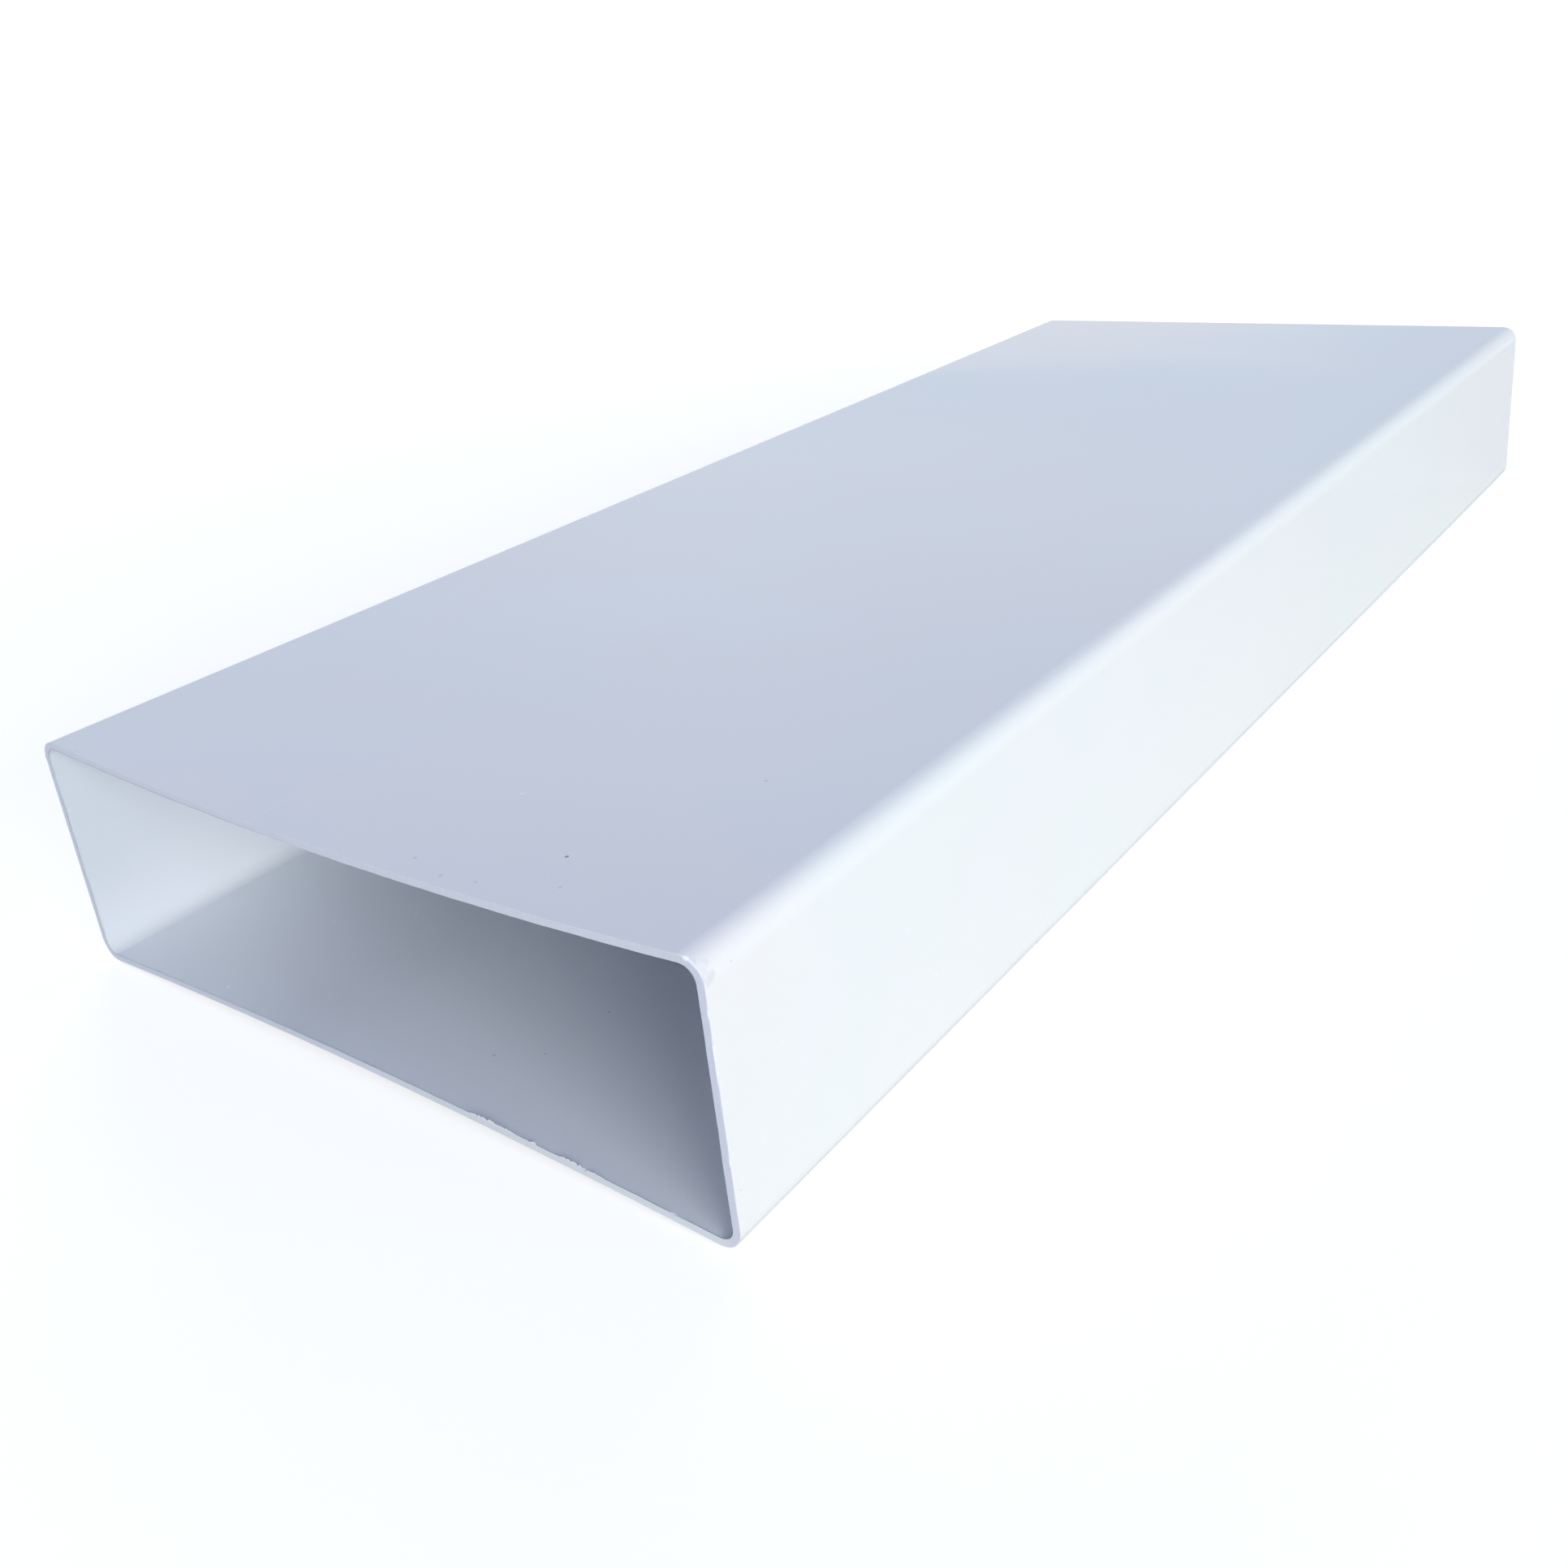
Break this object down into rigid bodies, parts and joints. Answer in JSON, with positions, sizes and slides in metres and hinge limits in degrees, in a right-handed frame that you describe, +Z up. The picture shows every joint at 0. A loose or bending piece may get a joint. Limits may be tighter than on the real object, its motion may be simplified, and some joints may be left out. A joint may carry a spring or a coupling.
{
  "type": "flat channel duct",
  "caption": "Straight length of white flat rectangular ventilation duct with rounded corners, thin walls and open sawn ends.",
  "frame": {"origin": "on the floor, midway along the duct's length and width", "axes": "+X across the width, +Y along the length away from the sawn end, +Z up"},
  "size_m": [0.204, 0.5, 0.06],
  "materials": {
    "white_upvc": "satin white, as extruded, with sawn ends left dull"
  },
  "bodies": {
    "root": {"channel_duct": "white_upvc"}
  },
  "joints": []
}
